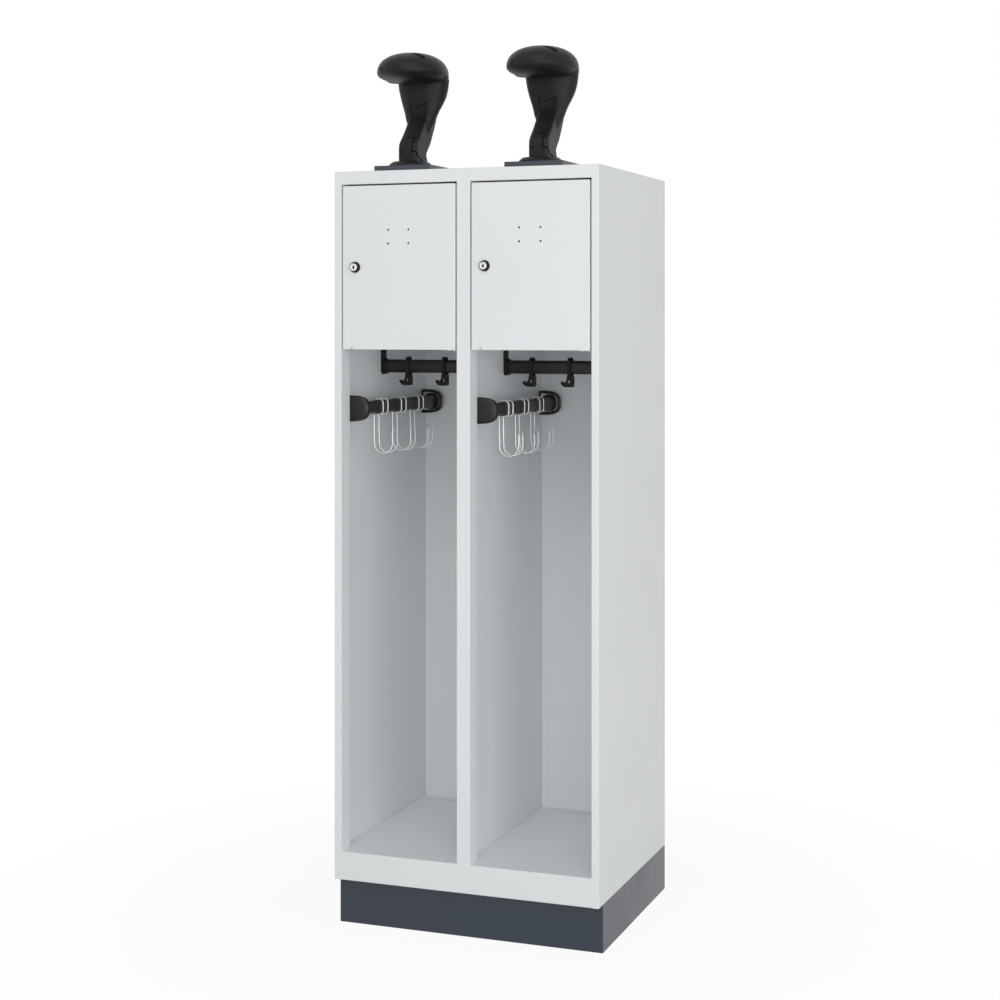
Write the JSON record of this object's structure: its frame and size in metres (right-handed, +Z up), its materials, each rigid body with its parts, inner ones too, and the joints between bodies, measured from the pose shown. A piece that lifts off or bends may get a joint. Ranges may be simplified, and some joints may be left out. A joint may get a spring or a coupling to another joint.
{
  "type": "gear locker",
  "caption": "Tall sheet-steel gear locker with open hanging compartments, lockable boxes above, coat rails, side hook bars and domed helmet holders on the roof.",
  "frame": {"origin": "centre of the bounding box at floor level", "axes": "+X to the right seen from the front, +Y to the back, +Z up; the doors face -Y"},
  "size_m": [0.6, 0.5094, 1.8911],
  "materials": {
    "painted_sheet": "satin light grey powder coat",
    "dark_sheet": "satin dark blue-grey powder coat",
    "black_plastic": "satin black moulded plastic",
    "black_tube": "satin black coated steel tube",
    "bright_metal": "polished lock core",
    "zinc_steel": "zinc-plated steel",
    "wire_steel": "zinc-plated round wire"
  },
  "bodies": {
    "carcass": {"left_side_panel": "painted_sheet", "right_side_panel": "painted_sheet", "roof_panel": "painted_sheet", "floor_panel": "painted_sheet", "back_panel": "painted_sheet", "centre_partition": "painted_sheet", "centre_post": "painted_sheet", "plinth": "dark_sheet", "left_hinge_pin_upper": "black_plastic", "left_hinge_pin_lower": "black_plastic", "left_shelf": "painted_sheet", "left_coat_rail": "black_tube", "left_rail_bracket_a": "black_plastic", "left_rail_bracket_b": "black_plastic", "left_hook_bar": "black_plastic", "left_bar_cap_front": "black_plastic", "left_bar_cap_rear": "black_plastic", "left_bar_bracket_front": "zinc_steel", "left_bar_bracket_rear": "zinc_steel", "left_holder_plate": "dark_sheet", "left_holder_foot": "black_plastic", "left_holder_stem": "black_plastic", "left_holder_dome": "black_plastic", "right_hinge_pin_upper": "black_plastic", "right_hinge_pin_lower": "black_plastic", "right_shelf": "painted_sheet", "right_coat_rail": "black_tube", "right_rail_bracket_a": "black_plastic", "right_rail_bracket_b": "black_plastic", "right_hook_bar": "black_plastic", "right_bar_cap_front": "black_plastic", "right_bar_cap_rear": "black_plastic", "right_bar_bracket_front": "zinc_steel", "right_bar_bracket_rear": "zinc_steel", "right_holder_plate": "dark_sheet", "right_holder_foot": "black_plastic", "right_holder_stem": "black_plastic", "right_holder_dome": "black_plastic"},
    "left_door_leaf": {"left_door": "painted_sheet", "left_lock_housing": "black_plastic", "left_lock_nut": "zinc_steel"},
    "left_lock_core": {"left_lock_plug": "bright_metal", "left_lock_cam": "zinc_steel"},
    "left_sliding_hook_1": {"left_sliding_hook_1": "black_plastic"},
    "left_sliding_hook_2": {"left_sliding_hook_2": "black_plastic"},
    "left_sliding_hook_3": {"left_sliding_hook_3": "black_plastic"},
    "left_wire_hook_1": {"left_wire_hook_1": "wire_steel"},
    "left_wire_hook_2": {"left_wire_hook_2": "wire_steel"},
    "left_wire_hook_3": {"left_wire_hook_3": "wire_steel"},
    "right_door_leaf": {"right_door": "painted_sheet", "right_lock_housing": "black_plastic", "right_lock_nut": "zinc_steel"},
    "right_lock_core": {"right_lock_plug": "bright_metal", "right_lock_cam": "zinc_steel"},
    "right_sliding_hook_1": {"right_sliding_hook_1": "black_plastic"},
    "right_sliding_hook_2": {"right_sliding_hook_2": "black_plastic"},
    "right_sliding_hook_3": {"right_sliding_hook_3": "black_plastic"},
    "right_wire_hook_1": {"right_wire_hook_1": "wire_steel"},
    "right_wire_hook_2": {"right_wire_hook_2": "wire_steel"},
    "right_wire_hook_3": {"right_wire_hook_3": "wire_steel"}
  },
  "joints": [
    {"name": "left_door_hinge", "type": "hinge", "parent": "carcass", "child": "left_door_leaf", "pos_m": [-0.0285, -0.2383, 1.42225], "axis": [0, 0, 1], "range_deg": [0, 110]},
    {"name": "left_lock_turn", "type": "hinge", "parent": "left_door_leaf", "child": "left_lock_core", "pos_m": [-0.2505, -0.2353, 1.4232], "axis": [0, 1, 0], "range_deg": [0, 90]},
    {"name": "left_sliding_hook_slide_1", "type": "slide", "parent": "carcass", "child": "left_sliding_hook_1", "axis": [1, 0, 0], "range_m": [-0.042, 0.028]},
    {"name": "left_sliding_hook_slide_2", "type": "slide", "parent": "carcass", "child": "left_sliding_hook_2", "axis": [1, 0, 0], "range_m": [-0.028, 0.028]},
    {"name": "left_sliding_hook_slide_3", "type": "slide", "parent": "carcass", "child": "left_sliding_hook_3", "axis": [1, 0, 0], "range_m": [-0.028, 0.036]},
    {"name": "left_wire_hook_slide_1", "type": "slide", "parent": "carcass", "child": "left_wire_hook_1", "axis": [0, 1, 0], "range_m": [-0.05, 0.033]},
    {"name": "left_wire_hook_slide_2", "type": "slide", "parent": "carcass", "child": "left_wire_hook_2", "axis": [0, 1, 0], "range_m": [-0.033, 0.033]},
    {"name": "left_wire_hook_slide_3", "type": "slide", "parent": "carcass", "child": "left_wire_hook_3", "axis": [0, 1, 0], "range_m": [-0.033, 0.05]},
    {"name": "right_door_hinge", "type": "hinge", "parent": "carcass", "child": "right_door_leaf", "pos_m": [0.2705, -0.2383, 1.42225], "axis": [0, 0, 1], "range_deg": [0, 110]},
    {"name": "right_lock_turn", "type": "hinge", "parent": "right_door_leaf", "child": "right_lock_core", "pos_m": [0.0485, -0.2353, 1.4232], "axis": [0, 1, 0], "range_deg": [0, 90]},
    {"name": "right_sliding_hook_slide_1", "type": "slide", "parent": "carcass", "child": "right_sliding_hook_1", "axis": [1, 0, 0], "range_m": [-0.042, 0.028]},
    {"name": "right_sliding_hook_slide_2", "type": "slide", "parent": "carcass", "child": "right_sliding_hook_2", "axis": [1, 0, 0], "range_m": [-0.028, 0.028]},
    {"name": "right_sliding_hook_slide_3", "type": "slide", "parent": "carcass", "child": "right_sliding_hook_3", "axis": [1, 0, 0], "range_m": [-0.028, 0.036]},
    {"name": "right_wire_hook_slide_1", "type": "slide", "parent": "carcass", "child": "right_wire_hook_1", "axis": [0, 1, 0], "range_m": [-0.05, 0.033]},
    {"name": "right_wire_hook_slide_2", "type": "slide", "parent": "carcass", "child": "right_wire_hook_2", "axis": [0, 1, 0], "range_m": [-0.033, 0.033]},
    {"name": "right_wire_hook_slide_3", "type": "slide", "parent": "carcass", "child": "right_wire_hook_3", "axis": [0, 1, 0], "range_m": [-0.033, 0.05]}
  ]
}
